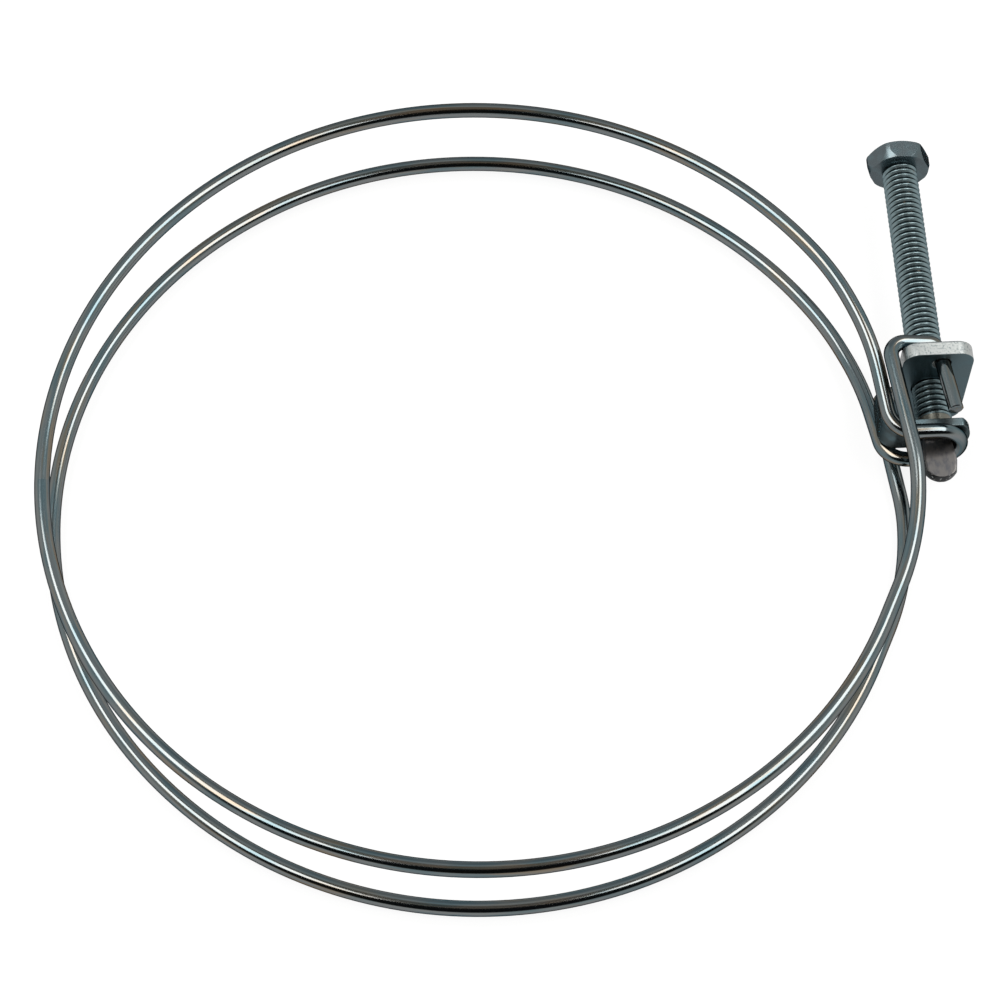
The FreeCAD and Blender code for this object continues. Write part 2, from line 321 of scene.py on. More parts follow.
def rolled_zinc_thread(colours, sizes):
    """Zinc on a rolled thread: bright crests, and roots darkened by painted shade."""
    material, tree = new_material("rolled_zinc_thread")
    place = node(tree, "ShaderNodeTexCoord").outputs["Object"]
    across = node(
        tree, "ShaderNodeMapping", Vector=place, Location=(-SCREW_X, 0, 0), Scale=(1, 0, 1)
    )
    radius = node(
        tree, "ShaderNodeVectorMath", {"operation": "LENGTH"}, i0=across.outputs[0]
    ).outputs["Value"]
    # Painted shade: the colour darkens from the crests towards the roots, by distance from the axis
    height = node(
        tree, "ShaderNodeMapRange", SMOOTH, Value=radius,
        From_Min=sizes.root_diameter / 2 + 0.03 * MM, From_Max=sizes.root_diameter / 2 + 0.2 * MM,
    )
    spread = node(tree, "ShaderNodeMapping", Vector=place, Scale=blobs(0.6, 0.6, 0.6))
    grime = node(tree, "ShaderNodeTexNoise", Vector=spread.outputs[0], Scale=1.0, Detail=3.0)
    warm = node(
        tree, "ShaderNodeMapRange", SMOOTH, Value=grime.outputs["Fac"], From_Min=0.6, From_Max=0.9
    )
    base = node(
        tree, "ShaderNodeMix", COLOUR_MIX, i0=height.outputs[0], i6=colours.painted_root_shade,
        i7=colours.screw,
    )
    tinted = node(
        tree, "ShaderNodeMix", COLOUR_MIX, i0=warm.outputs[0], i6=base.outputs[2],
        i7=colours.wire_warm,
    )
    rough = node(tree, "ShaderNodeMapRange", Value=grime.outputs["Fac"], To_Min=0.32, To_Max=0.4)
    raised = node(
        tree, "ShaderNodeBump", Height=grime.outputs["Fac"], Distance=0.004 * MM, Strength=0.4
    )
    shader = node(
        tree, "ShaderNodeBsdfPrincipled", Base_Color=tinted.outputs[2], Metallic=1.0,
        Specular_Tint=DARK_LIMB, Roughness=rough.outputs[0], Normal=raised.outputs[0],
    )
    node(tree, "ShaderNodeOutputMaterial", Surface=shader.outputs[0])
    return material


def pressed_zinc(name, colour, tint, cloud, roughness):
    """Zinc on forged or stamped steel: soft clouds, cloud mm wide, and a faint orange peel."""
    material, tree = new_material(name)
    place = node(tree, "ShaderNodeTexCoord").outputs["Object"]
    spread = node(tree, "ShaderNodeMapping", Vector=place, Scale=blobs(cloud, cloud, cloud))
    clouds = node(tree, "ShaderNodeTexNoise", Vector=spread.outputs[0], Scale=1.0, Detail=3.0)
    # Orange peel is about 0.1 mm wide, and is drawn coarser to show at this size
    peel = node(tree, "ShaderNodeMapping", Vector=place, Scale=blobs(0.28, 0.28, 0.28))
    fine = node(tree, "ShaderNodeTexNoise", Vector=peel.outputs[0], Scale=1.0, Detail=2.0)
    share = node(
        tree, "ShaderNodeMapRange", SMOOTH, Value=clouds.outputs["Fac"], From_Min=0.4, From_Max=0.72
    )
    base = node(tree, "ShaderNodeMix", COLOUR_MIX, i0=share.outputs[0], i6=colour, i7=tint)
    rough = node(
        tree, "ShaderNodeMapRange", Value=fine.outputs["Fac"], To_Min=roughness - 0.06,
        To_Max=roughness + 0.08,
    )
    raised = node(
        tree, "ShaderNodeBump", Height=fine.outputs["Fac"], Distance=0.003 * MM, Strength=0.5
    )
    shader = node(
        tree, "ShaderNodeBsdfPrincipled", Base_Color=base.outputs[2], Metallic=1.0,
        Specular_Tint=DARK_LIMB, Roughness=rough.outputs[0], Normal=raised.outputs[0],
    )
    node(tree, "ShaderNodeOutputMaterial", Surface=shader.outputs[0])
    return material


def sheared_zinc_edge(colours):
    """Edge that a punch tore: bright in its middle, grainy, greyer along its borders."""
    material, tree = new_material("sheared_zinc_edge")
    place = node(tree, "ShaderNodeTexCoord").outputs["Object"]
    spread = node(tree, "ShaderNodeMapping", Vector=place, Scale=blobs(0.3, 0.36, 0.3))
    tears = node(tree, "ShaderNodeTexNoise", Vector=spread.outputs[0], Scale=1.0, Detail=4.0)
    share = node(
        tree, "ShaderNodeMapRange", SMOOTH, Value=tears.outputs["Fac"], From_Min=0.22, From_Max=0.52
    )
    base = node(
        tree, "ShaderNodeMix", COLOUR_MIX, i0=share.outputs[0], i6=colours.plate, i7=colours.sheared_and_glint
    )
    raised = node(
        tree, "ShaderNodeBump", Height=tears.outputs["Fac"], Distance=0.04 * MM, Strength=0.5
    )
    shader = node(
        tree, "ShaderNodeBsdfPrincipled", Base_Color=base.outputs[2], Metallic=1.0,
        Roughness=0.4, Normal=raised.outputs[0],
    )
    node(tree, "ShaderNodeOutputMaterial", Surface=shader.outputs[0])
    return material


def bare_pinched_steel(colours):
    """Steel left bare where the dies gripped the blank: grey and faintly mottled, with the collar
    lighter and warmer, partly its bare steel and partly a painted highlight.
    """
    material, tree = new_material("bare_pinched_steel")
    place = node(tree, "ShaderNodeTexCoord").outputs["Object"]
    spread = node(tree, "ShaderNodeMapping", Vector=place, Scale=blobs(0.5, 0.9, 0.5))
    mottle = node(tree, "ShaderNodeTexNoise", Vector=spread.outputs[0], Scale=1.0, Detail=3.0)
    share = node(
        tree, "ShaderNodeMapRange", SMOOTH, Value=mottle.outputs["Fac"], From_Min=0.4,
        From_Max=0.72,
    )
    base = node(
        tree, "ShaderNodeMix", COLOUR_MIX, i0=share.outputs[0], i6=colours.tip, i7=colours.tip_dark
    )
    height = node(tree, "ShaderNodeSeparateXYZ", Vector=place)
    # Painted highlight on the collar, partly its bare steel's tone: above the shoulder the colour
    # turns lighter and warmer
    collar = node(
        tree, "ShaderNodeMapRange", Value=height.outputs["Y"], From_Min=SHOULDER_Y - 0.05 * MM,
        From_Max=SHOULDER_Y + 0.05 * MM,
    )
    finish = node(
        tree, "ShaderNodeMix", COLOUR_MIX, i0=collar.outputs[0], i6=base.outputs[2],
        i7=colours.collar,
    )
    raised = node(
        tree, "ShaderNodeBump", Height=mottle.outputs["Fac"], Distance=0.02 * MM, Strength=0.4
    )
    shader = node(
        tree, "ShaderNodeBsdfPrincipled", Base_Color=finish.outputs[2], Metallic=1.0,
        Roughness=0.36, Normal=raised.outputs[0],
    )
    node(tree, "ShaderNodeOutputMaterial", Surface=shader.outputs[0])
    return material


def painted_shade_tip_end(colours):
    """Painted shade round the tip's pinched end, a dark colour, with a few painted glints in it."""
    material, tree = new_material("painted_shade_tip_end")
    place = node(tree, "ShaderNodeTexCoord").outputs["Object"]
    spread = node(tree, "ShaderNodeMapping", Vector=place, Scale=blobs(0.35, 0.35, 0.35))
    glint_noise = node(tree, "ShaderNodeTexNoise", Vector=spread.outputs[0], Scale=1.0, Detail=3.0)
    # Painted glints: bright flecks where the noise is high, on the dark colour of the painted shade
    bright = node(
        tree, "ShaderNodeMapRange", SMOOTH, Value=glint_noise.outputs["Fac"], From_Min=0.62,
        From_Max=0.7,
    )
    base = node(
        tree, "ShaderNodeMix", COLOUR_MIX, i0=bright.outputs[0], i6=colours.scale,
        i7=colours.sheared_and_glint,
    )
    raised = node(
        tree, "ShaderNodeBump", Height=glint_noise.outputs["Fac"], Distance=0.05 * MM, Strength=0.7
    )
    shader = node(
        tree, "ShaderNodeBsdfPrincipled", Base_Color=base.outputs[2], Metallic=1.0,
        Roughness=0.3, Normal=raised.outputs[0],
    )
    node(tree, "ShaderNodeOutputMaterial", Surface=shader.outputs[0])
    return material


# Shapes


def new_piece(name, bm, material, sharp_angle=WIRE_SHARP):
    """Object with the bmesh's shape, at the origin, smooth but for its sharp edges."""
    bmesh.ops.recalc_face_normals(bm, faces=bm.faces)
    mesh = bpy.data.meshes.new(name)
    bm.to_mesh(mesh)
    bm.free()
    for polygon in mesh.polygons:
        polygon.use_smooth = True
    mesh.set_sharp_from_angle(angle=sharp_angle)
    mesh.materials.append(material)
    piece = bpy.data.objects.new(name, mesh)
    bpy.context.scene.collection.objects.link(piece)
    return piece


def soften_edges(piece, width, angle=EDGE_SHARP, finish=-1):
    """Small rounding of the sharp edges; finish is the material slot of the faces it makes."""
    made = piece.modifiers.new("edges", "BEVEL")
    made.width = width
    made.segments = 2
    made.limit_method = "ANGLE"
    made.angle_limit = angle
    made.material = finish


def extruded(bm, edges, move=None, centre=None, turn=None, scale=None):
    """Extrudes an edge loop, moves, turns or scales the new one, and returns its edges."""
    made = bmesh.ops.extrude_edge_only(bm, edges=edges)["geom"]
    verts = [item for item in made if isinstance(item, bmesh.types.BMVert)]
    if turn is not None:
        bmesh.ops.rotate(bm, verts=verts, cent=centre, matrix=turn)
    if scale is not None:
        bmesh.ops.scale(
            bm, verts=verts, vec=(scale, scale, scale), space=Matrix.Translation(-centre)
        )
    if move is not None:
        bmesh.ops.translate(bm, verts=verts, vec=move)
    loop = [item for item in made if isinstance(item, bmesh.types.BMEdge)]
    return verts, [edge for edge in loop if all(vert in set(verts) for vert in edge.verts)]


class Strand:
    """Round wire that grows from one end, step by step, through straight runs and bends."""

    def __init__(self, bm, start, along, radius, sides, rounded=0.0):
        self.bm = bm
        self.lay = bm.verts.layers.float_vector.get("wire_lay")
        self.lay = self.lay or bm.verts.layers.float_vector.new("wire_lay")
        self.centre = start.copy()
        self.along = along.normalized()
        turn = Vector((0, 0, 1)).rotation_difference(self.along).to_matrix().to_4x4()
        place = Matrix.Translation(start) @ turn
        made = bmesh.ops.create_circle(
            bm, cap_ends=False, radius=radius - rounded, segments=sides, matrix=place
        )
        verts = made["verts"]
        back = place.inverted()
        for vert in verts:
            flat = back @ vert.co
            vert[self.lay] = Vector((flat.x, flat.y, 0))
        self.edges = list({edge for vert in verts for edge in vert.link_edges})
        self.start_edges = list(self.edges)
        if rounded:
            self.step(self.along * rounded, None, None, None, radius / (radius - rounded), rounded)

    def step(self, move, centre, axis, angle, scale, distance):
        """Adds one ring."""
        turn = Matrix.Rotation(angle, 3, axis) if axis is not None else None
        middle = centre if axis is not None else self.centre
        verts, self.edges = extruded(self.bm, self.edges, move, middle, turn, scale)
        for vert in verts:
            vert[self.lay] = vert[self.lay] + Vector((0, 0, distance))
        if axis is not None:
            self.centre = turn @ (self.centre - centre) + centre
            self.along = turn @ self.along
        if move is not None:
            self.centre = self.centre + move

    def run(self, length):
        steps = max(1, math.ceil(length / STRAND_STEP))
        for _ in range(steps):
            self.step(self.along * length / steps, None, None, None, None, length / steps)

    def bend(self, centre, axis, angle, step_angle):
        steps = max(2, math.ceil(angle / step_angle))
        radius = (self.centre - centre).length
        for _ in range(steps):
            self.step(None, centre, axis, angle / steps, None, radius * angle / steps)

    def bend_towards(self, corner, after, run, step_angle):
        """Straight on towards corner, and round it by an arc that takes up run on each side."""
        outward = (after - corner).normalized()
        turn = self.along.angle(outward)
        radius = run / math.tan(turn / 2)
        self.run((corner - self.centre).length - run)
        axis = self.along.cross(outward).normalized()
        self.bend(self.centre + axis.cross(self.along) * radius, axis, turn, step_angle)

    def close(self, at_start=False):
        bmesh.ops.edgeloop_fill(self.bm, edges=self.start_edges if at_start else self.edges)


def arc_run(radius, before, corner, after):
    """Length of run that an arc of a given radius takes up at a corner."""
    return radius * math.tan((math.pi - (before - corner).angle(after - corner)) / 2)


def hoop_point(sizes, degrees):
    turn = math.radians(degrees)
    height = sizes.hoop_spacing / 2
    return Vector((sizes.hoop_radius * math.cos(turn), sizes.hoop_radius * math.sin(turn), height))


def hoop_tangent(degrees):
    turn = math.radians(degrees)
    return Vector((-math.sin(turn), math.cos(turn), 0))


def mirrored(bm, merge):
    """Adds the lower half, a mirror image of the upper one."""
    bmesh.ops.mirror(
        bm, geom=list(bm.verts) + list(bm.edges) + list(bm.faces), matrix=Matrix.Identity(4),
        merge_dist=merge, axis="Z",
    )


def plate_half(sizes):
    """Hooked end, run over the plate, and half of a hoop, above and below."""
    radius = sizes.wire_diameter / 2
    over = Vector((sizes.hoop_radius - PLATE_BEND_INSET, HOOK.y, PLATE_BEND_Z))
    bow = Vector((sizes.hoop_radius + BOW_OUTSET, BOW_Y, PLATE_BEND_Z))
    start = hoop_point(sizes, NEAR_ANGLE)
    near = start + hoop_tangent(NEAR_ANGLE) * sizes.hoop_radius * NEAR_RUN
    gap = (bow - near).length
    tight = sizes.bend_step
    gentle = tight / 4
    bm = bmesh.new()
    strand = Strand(bm, HOOK_END, HOOK - HOOK_END, radius, sizes.sides, HOOK_ROUNDING)
    strand.close(at_start=True)
    strand.bend_towards(HOOK, over, arc_run(HOOK_RADIUS, HOOK_END, HOOK, over), tight)
    strand.bend_towards(over, bow, arc_run(PLATE_BEND_RADIUS, HOOK, over, bow), tight)
    strand.bend_towards(bow, near, gap * BOW_SHARE, gentle)
    strand.bend_towards(near, start, gap * NEAR_BEND_SHARE, gentle)
    strand.run((start - strand.centre).length)
    centre = Vector((0, 0, start.z))
    strand.bend(centre, Vector((0, 0, -1)), math.radians(180 + NEAR_ANGLE), sizes.hoop_step)
    strand.close()
    mirrored(bm, 0)
    return bm


def saddle_half(sizes):
    """Other half of both hoops, their strands, and the hairpin that joins them."""
    radius = sizes.wire_diameter / 2
    end = hoop_point(sizes, FAR_ANGLE)
    far = end - hoop_tangent(FAR_ANGLE) * sizes.hoop_radius * FAR_RUN
    strand_bend = Vector((
        sizes.hoop_radius - STRAND_BEND_INSET, sizes.hoop_radius * STRAND_BEND_REACH, STRAND_BEND_Z
    ))
    corner = Vector((sizes.hoop_radius - CORNER_INSET, HAIRPIN_Y, HAIRPIN_RADIUS))
    run_end = Vector((HAIRPIN_X, HAIRPIN_Y, HAIRPIN_RADIUS))
    gap = (strand_bend - far).length
    tight = sizes.bend_step
    gentle = tight / 4
    bm = bmesh.new()
    strand = Strand(bm, hoop_point(sizes, 180), AXIS_Y, radius, sizes.sides)
    strand.close(at_start=True)
    centre = Vector((0, 0, end.z))
    strand.bend(centre, Vector((0, 0, -1)), math.radians(180 - FAR_ANGLE), sizes.hoop_step)
    strand.bend_towards(far, strand_bend, gap * FAR_BEND_SHARE, gentle)
    strand.bend_towards(strand_bend, corner, gap * STRAND_BEND_SHARE, gentle)
    run = arc_run(CORNER_RADIUS, strand_bend, corner, run_end)
    strand.bend_towards(corner, run_end, run, tight)
    strand.run((run_end - strand.centre).length)
    middle = Vector((HAIRPIN_X, HAIRPIN_Y, 0))
    strand.bend(middle, AXIS_Y, math.radians(90), tight)
    mirrored(bm, 0.01 * MM)
    return bm


def ring_of(bm, radius, y, segments):
    """Circle round the screw's axis."""
    turn = Matrix.Rotation(math.radians(90), 4, "X")
    place = Matrix.Translation(Vector((SCREW_X, y, 0))) @ turn
    made = bmesh.ops.create_circle(
        bm, cap_ends=False, radius=radius, segments=segments, matrix=place
    )
    return list({edge for vert in made["verts"] for edge in vert.link_edges})


def profile_chain(bm, points):
    """Chain of edges through points of radius and Y, on the screw's +X side."""
    verts = [bm.verts.new((SCREW_X + radius, y, 0)) for radius, y in points]
    return verts, [bm.edges.new(pair) for pair in zip(verts, verts[1:])]


def thread_shape(sizes):
    """Helical thread, from the collar to the head."""
    crest = sizes.crest_diameter / 2
    root = sizes.root_diameter / 2
    low = root + THREAD_FALL
    high = crest - THREAD_FALL
    shape = [
        (0.0, root), (0.1, low), (0.38, high), (0.45, crest),
        (0.55, crest), (0.62, high), (0.9, low), (1.0, root),
    ]
    # Half a step early, so that no corner of the helix lies on the planes that cut it
    start = THREAD_START - sizes.pitch * (1 + 0.5 / sizes.turn_steps)
    bm = bmesh.new()
    points = [(radius, start + share * sizes.pitch) for share, radius in shape]
    verts, edges = profile_chain(bm, points)
    turns = math.ceil((HEAD_Y - start) / sizes.pitch) + 1
    bmesh.ops.spin(
        bm, geom=verts + edges, cent=(SCREW_X, 0, 0), axis=AXIS_Y,
        dvec=(0, sizes.pitch / sizes.turn_steps, 0), angle=2 * math.pi * turns,
        steps=turns * sizes.turn_steps, use_merge=False,
    )
    bmesh.ops.remove_doubles(bm, verts=bm.verts, dist=WELD * 5)
    for y, side in ((THREAD_START, -1), (HEAD_Y + 0.1 * MM, 1)):
        bmesh.ops.bisect_plane(
            bm, geom=list(bm.verts) + list(bm.edges) + list(bm.faces),
            plane_co=(SCREW_X, y, 0), plane_no=(0, side, 0), clear_outer=True,
        )
    collar = sizes.collar_diameter / 2 - 0.02 * MM
    for vert in bm.verts:
        across = Vector((vert.co.x - SCREW_X, 0, vert.co.z))
        most = collar + (vert.co.y - THREAD_START) * RUNOUT
        if across.length > most:
            across = across * most / across.length
            vert.co = Vector((SCREW_X + across.x, vert.co.y, across.z))
    open_edges = [edge for edge in bm.edges if edge.is_boundary]
    bmesh.ops.holes_fill(bm, edges=open_edges, sides=0)
    return bm


def head_shape(sizes):
    """Forged blank with six flats."""
    corner = sizes.across_corners / 2
    top = HEAD_Y + HEAD_HEIGHT
    bm = bmesh.new()
    chamfer = (corner - HEAD_TOP_RADIUS) * math.tan(HEAD_CHAMFER)
    points = [
        (0.0, HEAD_Y), (HEAD_WASHER_RADIUS, HEAD_Y), (corner, HEAD_Y + HEAD_CORNER_RISE),
        (corner, top - chamfer), (HEAD_TOP_RADIUS, top), (0.0, top),
    ]
    verts, edges = profile_chain(bm, points)
    bmesh.ops.spin(
        bm, geom=verts + edges, cent=(SCREW_X, 0, 0), axis=AXIS_Y, angle=2 * math.pi, steps=72,
        use_merge=True,
    )
    bmesh.ops.remove_doubles(bm, verts=bm.verts, dist=WELD)
    for number in range(6):
        turn = sizes.head_turn + math.radians(30 + 60 * number)
        outward = Vector((math.cos(turn), 0, math.sin(turn)))
        bmesh.ops.bisect_plane(
            bm, geom=list(bm.verts) + list(bm.edges) + list(bm.faces),
            plane_co=Vector((SCREW_X, 0, 0)) + outward * sizes.across_flats / 2,
            plane_no=outward, clear_outer=True,
        )
        open_edges = [edge for edge in bm.edges if edge.is_boundary]
        bmesh.ops.holes_fill(bm, edges=open_edges, sides=0)
    bmesh.ops.dissolve_limit(
        bm, angle_limit=math.radians(0.5), verts=bm.verts, edges=bm.edges,
    )
    return bm


def tip_shape(sizes):
    """Bare collar with the shoulder, plain tip, and the end pinched between two flats."""
    collar = sizes.collar_diameter / 2
    tip = sizes.tip_diameter / 2
    bm = bmesh.new()
    levels = [
        (collar, THREAD_START + COLLAR_LAP), (collar, SHOULDER_Y + SHOULDER_CHAMFER),
        (collar - SHOULDER_CHAMFER, SHOULDER_Y), (tip + TIP_FILLET, SHOULDER_Y),
        (tip, SHOULDER_Y - TIP_FILLET), (tip, SPADE_START),
    ]
    edges = ring_of(bm, levels[0][0], levels[0][1], 48)
    bmesh.ops.edgeloop_fill(bm, edges=edges)
    for (radius, y), (last_radius, last_y) in zip(levels[1:], levels):
        centre = Vector((SCREW_X, last_y, 0))
        move = Vector((0, y - last_y, 0))
        _, edges = extruded(bm, edges, move, centre, None, radius / last_radius)
    length = SPADE_START - TIP_END
    shares = (0.97, 0.94, 0.91, 0.88, 0.85, 0.82, 0.79, 0.7, 0.55, 0.4)
    distances = [length * share for share in shares]
    distances += [SPADE_RADIUS * (1 - math.cos(math.radians(a))) for a in (52, 42, 33, 24, 16, 9)]
    last_y = SPADE_START
    for distance in distances:
        y = TIP_END + distance
        _, edges = extruded(bm, edges, Vector((0, y - last_y, 0)))
        last_y = y
    bmesh.ops.edgeloop_fill(bm, edges=edges)
    for vert in (vert for vert in bm.verts if vert.co.y < SPADE_START - WELD):
        pinch(vert, tip, length)
    return bm


def eased(share):
    """Smooth step from 0 to 1."""
    share = min(1.0, share)
    return share * share * (3 - 2 * share)


def pinch(vert, tip, length):
    """Moves a point of the round bar to where the two flat dies and the round outline leave it."""
    from_end = vert.co.y - TIP_END
    share = (SPADE_START - vert.co.y) / length
    width = tip + (SPADE_HALF_WIDTH - tip) * eased(share / WIDE_SHARE)
    thickness = tip + (SPADE_HALF_THICKNESS - tip) * eased(share / FLAT_SHARE)
    if from_end < SPADE_RADIUS:
        width = min(width, math.sqrt(SPADE_RADIUS ** 2 - (SPADE_RADIUS - from_end) ** 2))
    vert.co.x = SCREW_X + (vert.co.x - SCREW_X) * width / tip
    vert.co.z = max(-thickness, min(thickness, vert.co.z))


def cad_copy(name):
    """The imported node's shape, with its triangles welded and its flat faces whole."""
    bm = bmesh.new()
    bm.from_mesh(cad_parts[name].data)
    bmesh.ops.remove_doubles(bm, verts=bm.verts, dist=WELD)
    bmesh.ops.dissolve_limit(
        bm, angle_limit=math.radians(0.6), verts=bm.verts, edges=bm.edges,
    )
    return bm


def give_edges(piece, material):
    """The faces that run along the screw are the strip's sheared edges."""
    piece.data.materials.append(material)
    for polygon in piece.data.polygons:
        middle = polygon.center
        in_hole = math.hypot(middle.x - SCREW_X, middle.z) < 3.0 * MM
        if abs(polygon.normal.y) < 0.5 and not in_hole:
            polygon.material_index = 1


def give_end(piece, material):
    """The faces round the pinched end get the painted shade and painted glints."""
    piece.data.materials.append(material)
    for polygon in piece.data.polygons:
        if abs(polygon.normal.z) < 0.55 and polygon.center.y < 1.0 * MM:
            polygon.material_index = 1


class OBJECT_OT_clamp_wire(bpy.types.Operator):
    """The one wire, as a half that stays with the plate and a half on the saddle's side"""

    bl_idname = "object.clamp_wire"
    bl_label = "Clamp wire"

    def execute(self, context):
        sizes = context.scene.clamp_wire
        material = drawn_zinc_wire(context.scene.clamp_colours)
        near = new_piece("wire_plate_half", plate_half(sizes), material)
        far = new_piece("wire_saddle_half", saddle_half(sizes), material)
        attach(near, "hoops")
        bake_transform(far)
        for piece in (near, far):
            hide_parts("hoop_wire")
        return {"FINISHED"}


class OBJECT_OT_clamp_screw(bpy.types.Operator):
    """Hex screw: forged head, rolled thread, and bare tip with its pinched end"""

    bl_idname = "object.clamp_screw"
    bl_label = "Clamp screw"

    def execute(self, context):
        sizes = context.scene.clamp_screw
        colours = context.scene.clamp_colours
        zinc = pressed_zinc("forged_zinc_head", colours.head, colours.plate, 1.4, 0.27)
        head = new_piece("screw_head", head_shape(sizes), zinc, HEAD_SHARP)
        soften_edges(head, HEAD_EDGE, HEAD_SHARP)
        rolled = rolled_zinc_thread(colours, sizes)
        thread = new_piece("screw_thread", thread_shape(sizes), rolled, THREAD_SHARP)
        bare = bare_pinched_steel(colours)
        tip = new_piece("screw_tip", tip_shape(sizes), bare, TIP_SHARP)
        give_end(tip, painted_shade_tip_end(colours))
        soften_edges(tip, TIP_EDGE)
        for piece in (head, thread, tip):
            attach(piece, "screw")
            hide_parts("screw")
        return {"FINISHED"}


class OBJECT_OT_clamp_plate(bpy.types.Operator):
    """Threaded plate, with its stamped edges"""

    bl_idname = "object.clamp_plate"
    bl_label = "Clamp plate"

    def execute(self, context):
        colours = context.scene.clamp_colours
        zinc = pressed_zinc("stamped_zinc_plate", colours.plate, colours.wire_cool, 2.4, 0.3)
        plate = new_piece("threaded_plate", cad_copy("nut_plate"), zinc, PLATE_SHARP)
        give_edges(plate, sheared_zinc_edge(colours))
        soften_edges(plate, PLATE_EDGE, finish=0)
        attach(plate, "hoops")
        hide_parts("nut_plate")
        return {"FINISHED"}


class OBJECT_OT_clamp_saddle(bpy.types.Operator):
    """Bent saddle, with its stamped edges"""

    bl_idname = "object.clamp_saddle"
    bl_label = "Clamp saddle"

    def execute(self, context):
        colours = context.scene.clamp_colours
        zinc = pressed_zinc("stamped_zinc_saddle", colours.saddle, colours.wire_cool, 1.8, 0.32)
        saddle = new_piece("bent_saddle", cad_copy("saddle"), zinc, PLATE_SHARP)
        soften_edges(saddle, SADDLE_EDGE)
        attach(saddle, "saddle")
        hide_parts("saddle")
        return {"FINISHED"}


class OBJECT_OT_clamp_stage(bpy.types.Operator):
    """White floor, soft studio light and the camera"""

    bl_idname = "object.clamp_stage"
    bl_label = "Clamp stage"

    def execute(self, context):
        lay_floor(context.scene.clamp_colours)
        light_world()
        for side in (-1, 1):
            soft_box("soft_box_left" if side < 0 else "soft_box_right", side)
        place_camera(context.scene.clamp_view)
        return {"FINISHED"}


def lay_floor(colours):
    """White floor at the object's lowest point, which keeps a faint shadow."""
    bm = bmesh.new()
    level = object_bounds()[0].z
    place = Matrix.Translation(Vector((0, 0, level)))
    bmesh.ops.create_grid(bm, x_segments=1, y_segments=1, size=FLOOR_REACH, matrix=place)
    material, tree = new_material("white_floor")
    rays = node(tree, "ShaderNodeLightPath")
    # The camera sees paper lit from all round, and polished metal a greyer studio floor
    strength = node(
        tree, "ShaderNodeMapRange", Value=rays.outputs["Is Camera Ray"], To_Min=FLOOR_IN_METAL,
        To_Max=1.0,
    )
    paint = node(tree, "ShaderNodeBsdfDiffuse", Color=colours.floor)
    glow = node(
        tree, "ShaderNodeEmission", Color=colours.floor, Strength=strength.outputs[0]
    )
    share = node(
        tree, "ShaderNodeMapRange", Value=rays.outputs["Is Diffuse Ray"], To_Min=FLOOR_GLOW,
        To_Max=0.0,
    )
    mixed = node(
        tree, "ShaderNodeMixShader", i0=share.outputs[0], i1=paint.outputs[0], i2=glow.outputs[0]
    )
    node(tree, "ShaderNodeOutputMaterial", Surface=mixed.outputs[0])
    mesh = bpy.data.meshes.new("floor")
    bm.to_mesh(mesh)
    bm.free()
    mesh.materials.append(material)
    floor = bpy.data.objects.new("floor", mesh)
    bpy.context.scene.collection.objects.link(floor)
    floor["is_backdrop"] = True


def cosine(degrees):
    return math.cos(math.radians(degrees))


def light_world():
    """Grey studio, darker overhead, behind the object and above the camera."""
    world = bpy.data.worlds.new("studio")
    bpy.context.scene.world = world
    world.use_nodes = True
    tree = world.node_tree
    tree.nodes.clear()
    way = node(tree, "ShaderNodeTexCoord").outputs["Generated"]
    # Each zone fades between two angles from its middle
    overhead = node(
        tree, "ShaderNodeVectorMath", {"operation": "DOT_PRODUCT"}, i0=way, i1=(0, -0.1, 0.995)
    )
    ceiling = node(
        tree, "ShaderNodeMapRange", SMOOTH, Value=overhead.outputs["Value"],
        From_Min=cosine(34), From_Max=cosine(14),
    )
    rearward = node(
        tree, "ShaderNodeVectorMath", {"operation": "DOT_PRODUCT"}, i0=way, i1=(0, 0.95, 0.31)
    )
    behind = node(
        tree, "ShaderNodeMapRange", SMOOTH, Value=rearward.outputs["Value"],
        From_Min=cosine(36), From_Max=cosine(22),
    )
    # The dark place over the camera is an oval, about 104 degrees wide and 62 high
    sideways = node(
        tree, "ShaderNodeVectorMath", {"operation": "DOT_PRODUCT"}, i0=way, i1=(1 / 0.79, 0, 0)
    )
    upwards = node(
        tree, "ShaderNodeVectorMath", {"operation": "DOT_PRODUCT"}, i0=way,
        i1=(0, 0.643 / 0.515, 0.766 / 0.515),
    )
    flat = node(
        tree, "ShaderNodeCombineXYZ", X=sideways.outputs["Value"], Y=upwards.outputs["Value"]
    )
    oval = node(tree, "ShaderNodeVectorMath", {"operation": "LENGTH"}, i0=flat.outputs[0])
    front = node(
        tree, "ShaderNodeMapRange", SMOOTH, Value=oval.outputs["Value"], From_Min=0.85,
        From_Max=1.2, To_Min=1.0, To_Max=0.0,
    )
    axes = node(tree, "ShaderNodeSeparateXYZ", Vector=way)
    height = node(
        tree, "ShaderNodeMapRange", SMOOTH, Value=axes.outputs["Z"], From_Min=0.2, From_Max=0.65
    )
    colour = linear("#cfd1cd")
    for share, code in ((height, "#b0b8b9"), (behind, "#8f979a"), (ceiling, "#857a6c"),
                        (front, "#15181a")):
        mixed = node(
            tree, "ShaderNodeMix", COLOUR_MIX, i0=share.outputs[0], i6=colour, i7=linear(code)
        )
        colour = mixed.outputs[2]
    rays = node(tree, "ShaderNodeLightPath")
    lit = node(
        tree, "ShaderNodeMix", COLOUR_MIX, i0=rays.outputs["Is Diffuse Ray"], i6=colour,
        i7=linear("#f4f4f4"),
    )
    light = node(tree, "ShaderNodeBackground", Color=lit.outputs[2], Strength=1.0)
    node(tree, "ShaderNodeOutputWorld", Surface=light.outputs[0])


def placed(made, spot, right, up, back):
    """Puts a lamp or the camera at spot, looking away from back."""
    axes = Matrix((right, up, back)).transposed().to_4x4()
    made.matrix_world = Matrix.Translation(spot) @ axes
    bpy.context.scene.collection.objects.link(made)
    return made


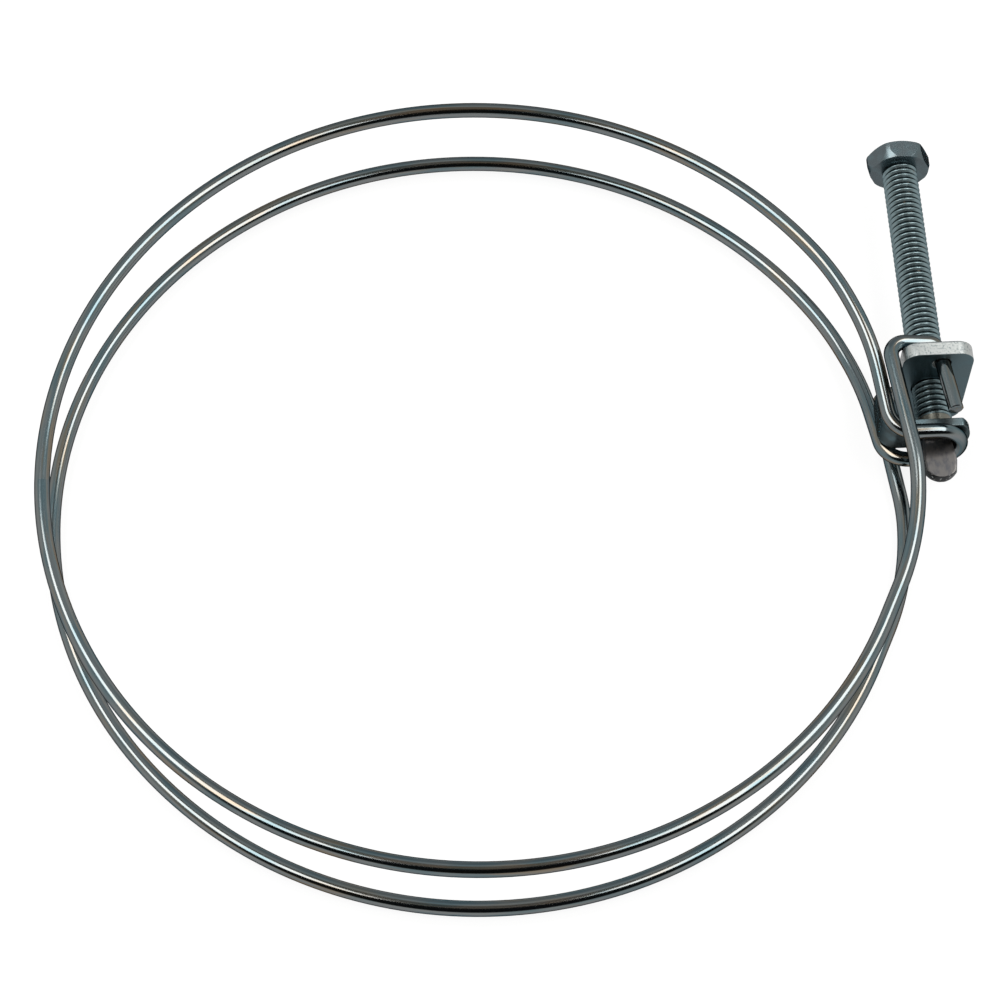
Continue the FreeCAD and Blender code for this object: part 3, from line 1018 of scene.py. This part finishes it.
def soft_box(name, side):
    """Long lamp overhead on one side, whose reflection is the bright line along the wire."""
    back = Vector((side * math.sin(LAMP_TILT), 0, math.cos(LAMP_TILT)))
    lamp = bpy.data.lights.new(name, "AREA")
    lamp.shape = "RECTANGLE"
    lamp.size = LAMP_LENGTH
    lamp.size_y = LAMP_WIDTH
    lamp.color = LAMP_COLOUR
    lamp.energy = LAMP_RADIANCE * math.pi * LAMP_LENGTH * LAMP_WIDTH
    made = bpy.data.objects.new(name, lamp)
    placed(made, back * LAMP_DISTANCE, AXIS_Y, back.cross(AXIS_Y), back)


def place_camera(view):
    """Camera at the photograph's angle, aimed a little off the hoops' centre."""
    turn = view.azimuth
    rise = view.elevation
    back = Vector((
        math.sin(turn) * math.cos(rise), -math.cos(turn) * math.cos(rise), math.sin(rise)
    ))
    level = Vector((math.cos(turn), math.sin(turn), 0))
    upright = back.cross(level)
    right = level * math.cos(view.roll) + upright * math.sin(view.roll)
    up = upright * math.cos(view.roll) - level * math.sin(view.roll)
    spot = back * view.distance - right * view.shift_across - up * view.shift_up
    camera = bpy.data.cameras.new("camera")
    camera.lens = view.lens
    camera.sensor_width = SENSOR_WIDTH
    made = bpy.data.objects.new("camera", camera)
    bpy.context.scene.camera = placed(made, spot, right, up, back)


class VIEW3D_PT_ring_clamp(bpy.types.Panel):
    """Sizes, colours and the steps that build the clamp"""

    bl_label = "Ring clamp"
    bl_idname = "VIEW3D_PT_ring_clamp"
    bl_space_type = "VIEW_3D"
    bl_region_type = "UI"
    bl_category = "Ring clamp"

    def draw(self, context):
        for group in (name for name, _ in GROUPS):
            box = self.layout.box()
            settings = getattr(context.scene, group)
            for name in settings.__annotations__:
                box.prop(settings, name)
        for step in STEPS:
            self.layout.operator(step.bl_idname)


GROUPS = (
    ("clamp_wire", ClampWireSizes),
    ("clamp_screw", ClampScrewSizes),
    ("clamp_colours", ClampColours),
    ("clamp_view", ClampView),
)
STEPS = (
    OBJECT_OT_clamp_wire,
    OBJECT_OT_clamp_screw,
    OBJECT_OT_clamp_plate,
    OBJECT_OT_clamp_saddle,
    OBJECT_OT_clamp_stage,
)


def register():
    for _, group in GROUPS:
        bpy.utils.register_class(group)
    for step in STEPS:
        bpy.utils.register_class(step)
    bpy.utils.register_class(VIEW3D_PT_ring_clamp)
    for name, group in GROUPS:
        setattr(bpy.types.Scene, name, PointerProperty(type=group))


def unregister():
    for name, _ in GROUPS:
        delattr(bpy.types.Scene, name)
    bpy.utils.unregister_class(VIEW3D_PT_ring_clamp)
    for step in reversed(STEPS):
        bpy.utils.unregister_class(step)
    for _, group in reversed(GROUPS):
        bpy.utils.unregister_class(group)


def main():
    register()
    bpy.context.scene.view_settings.view_transform = "Standard"
    bpy.ops.object.clamp_wire()
    bpy.ops.object.clamp_screw()
    bpy.ops.object.clamp_plate()
    bpy.ops.object.clamp_saddle()
    bpy.ops.object.clamp_stage()


if __name__ == "__main__":
    main()
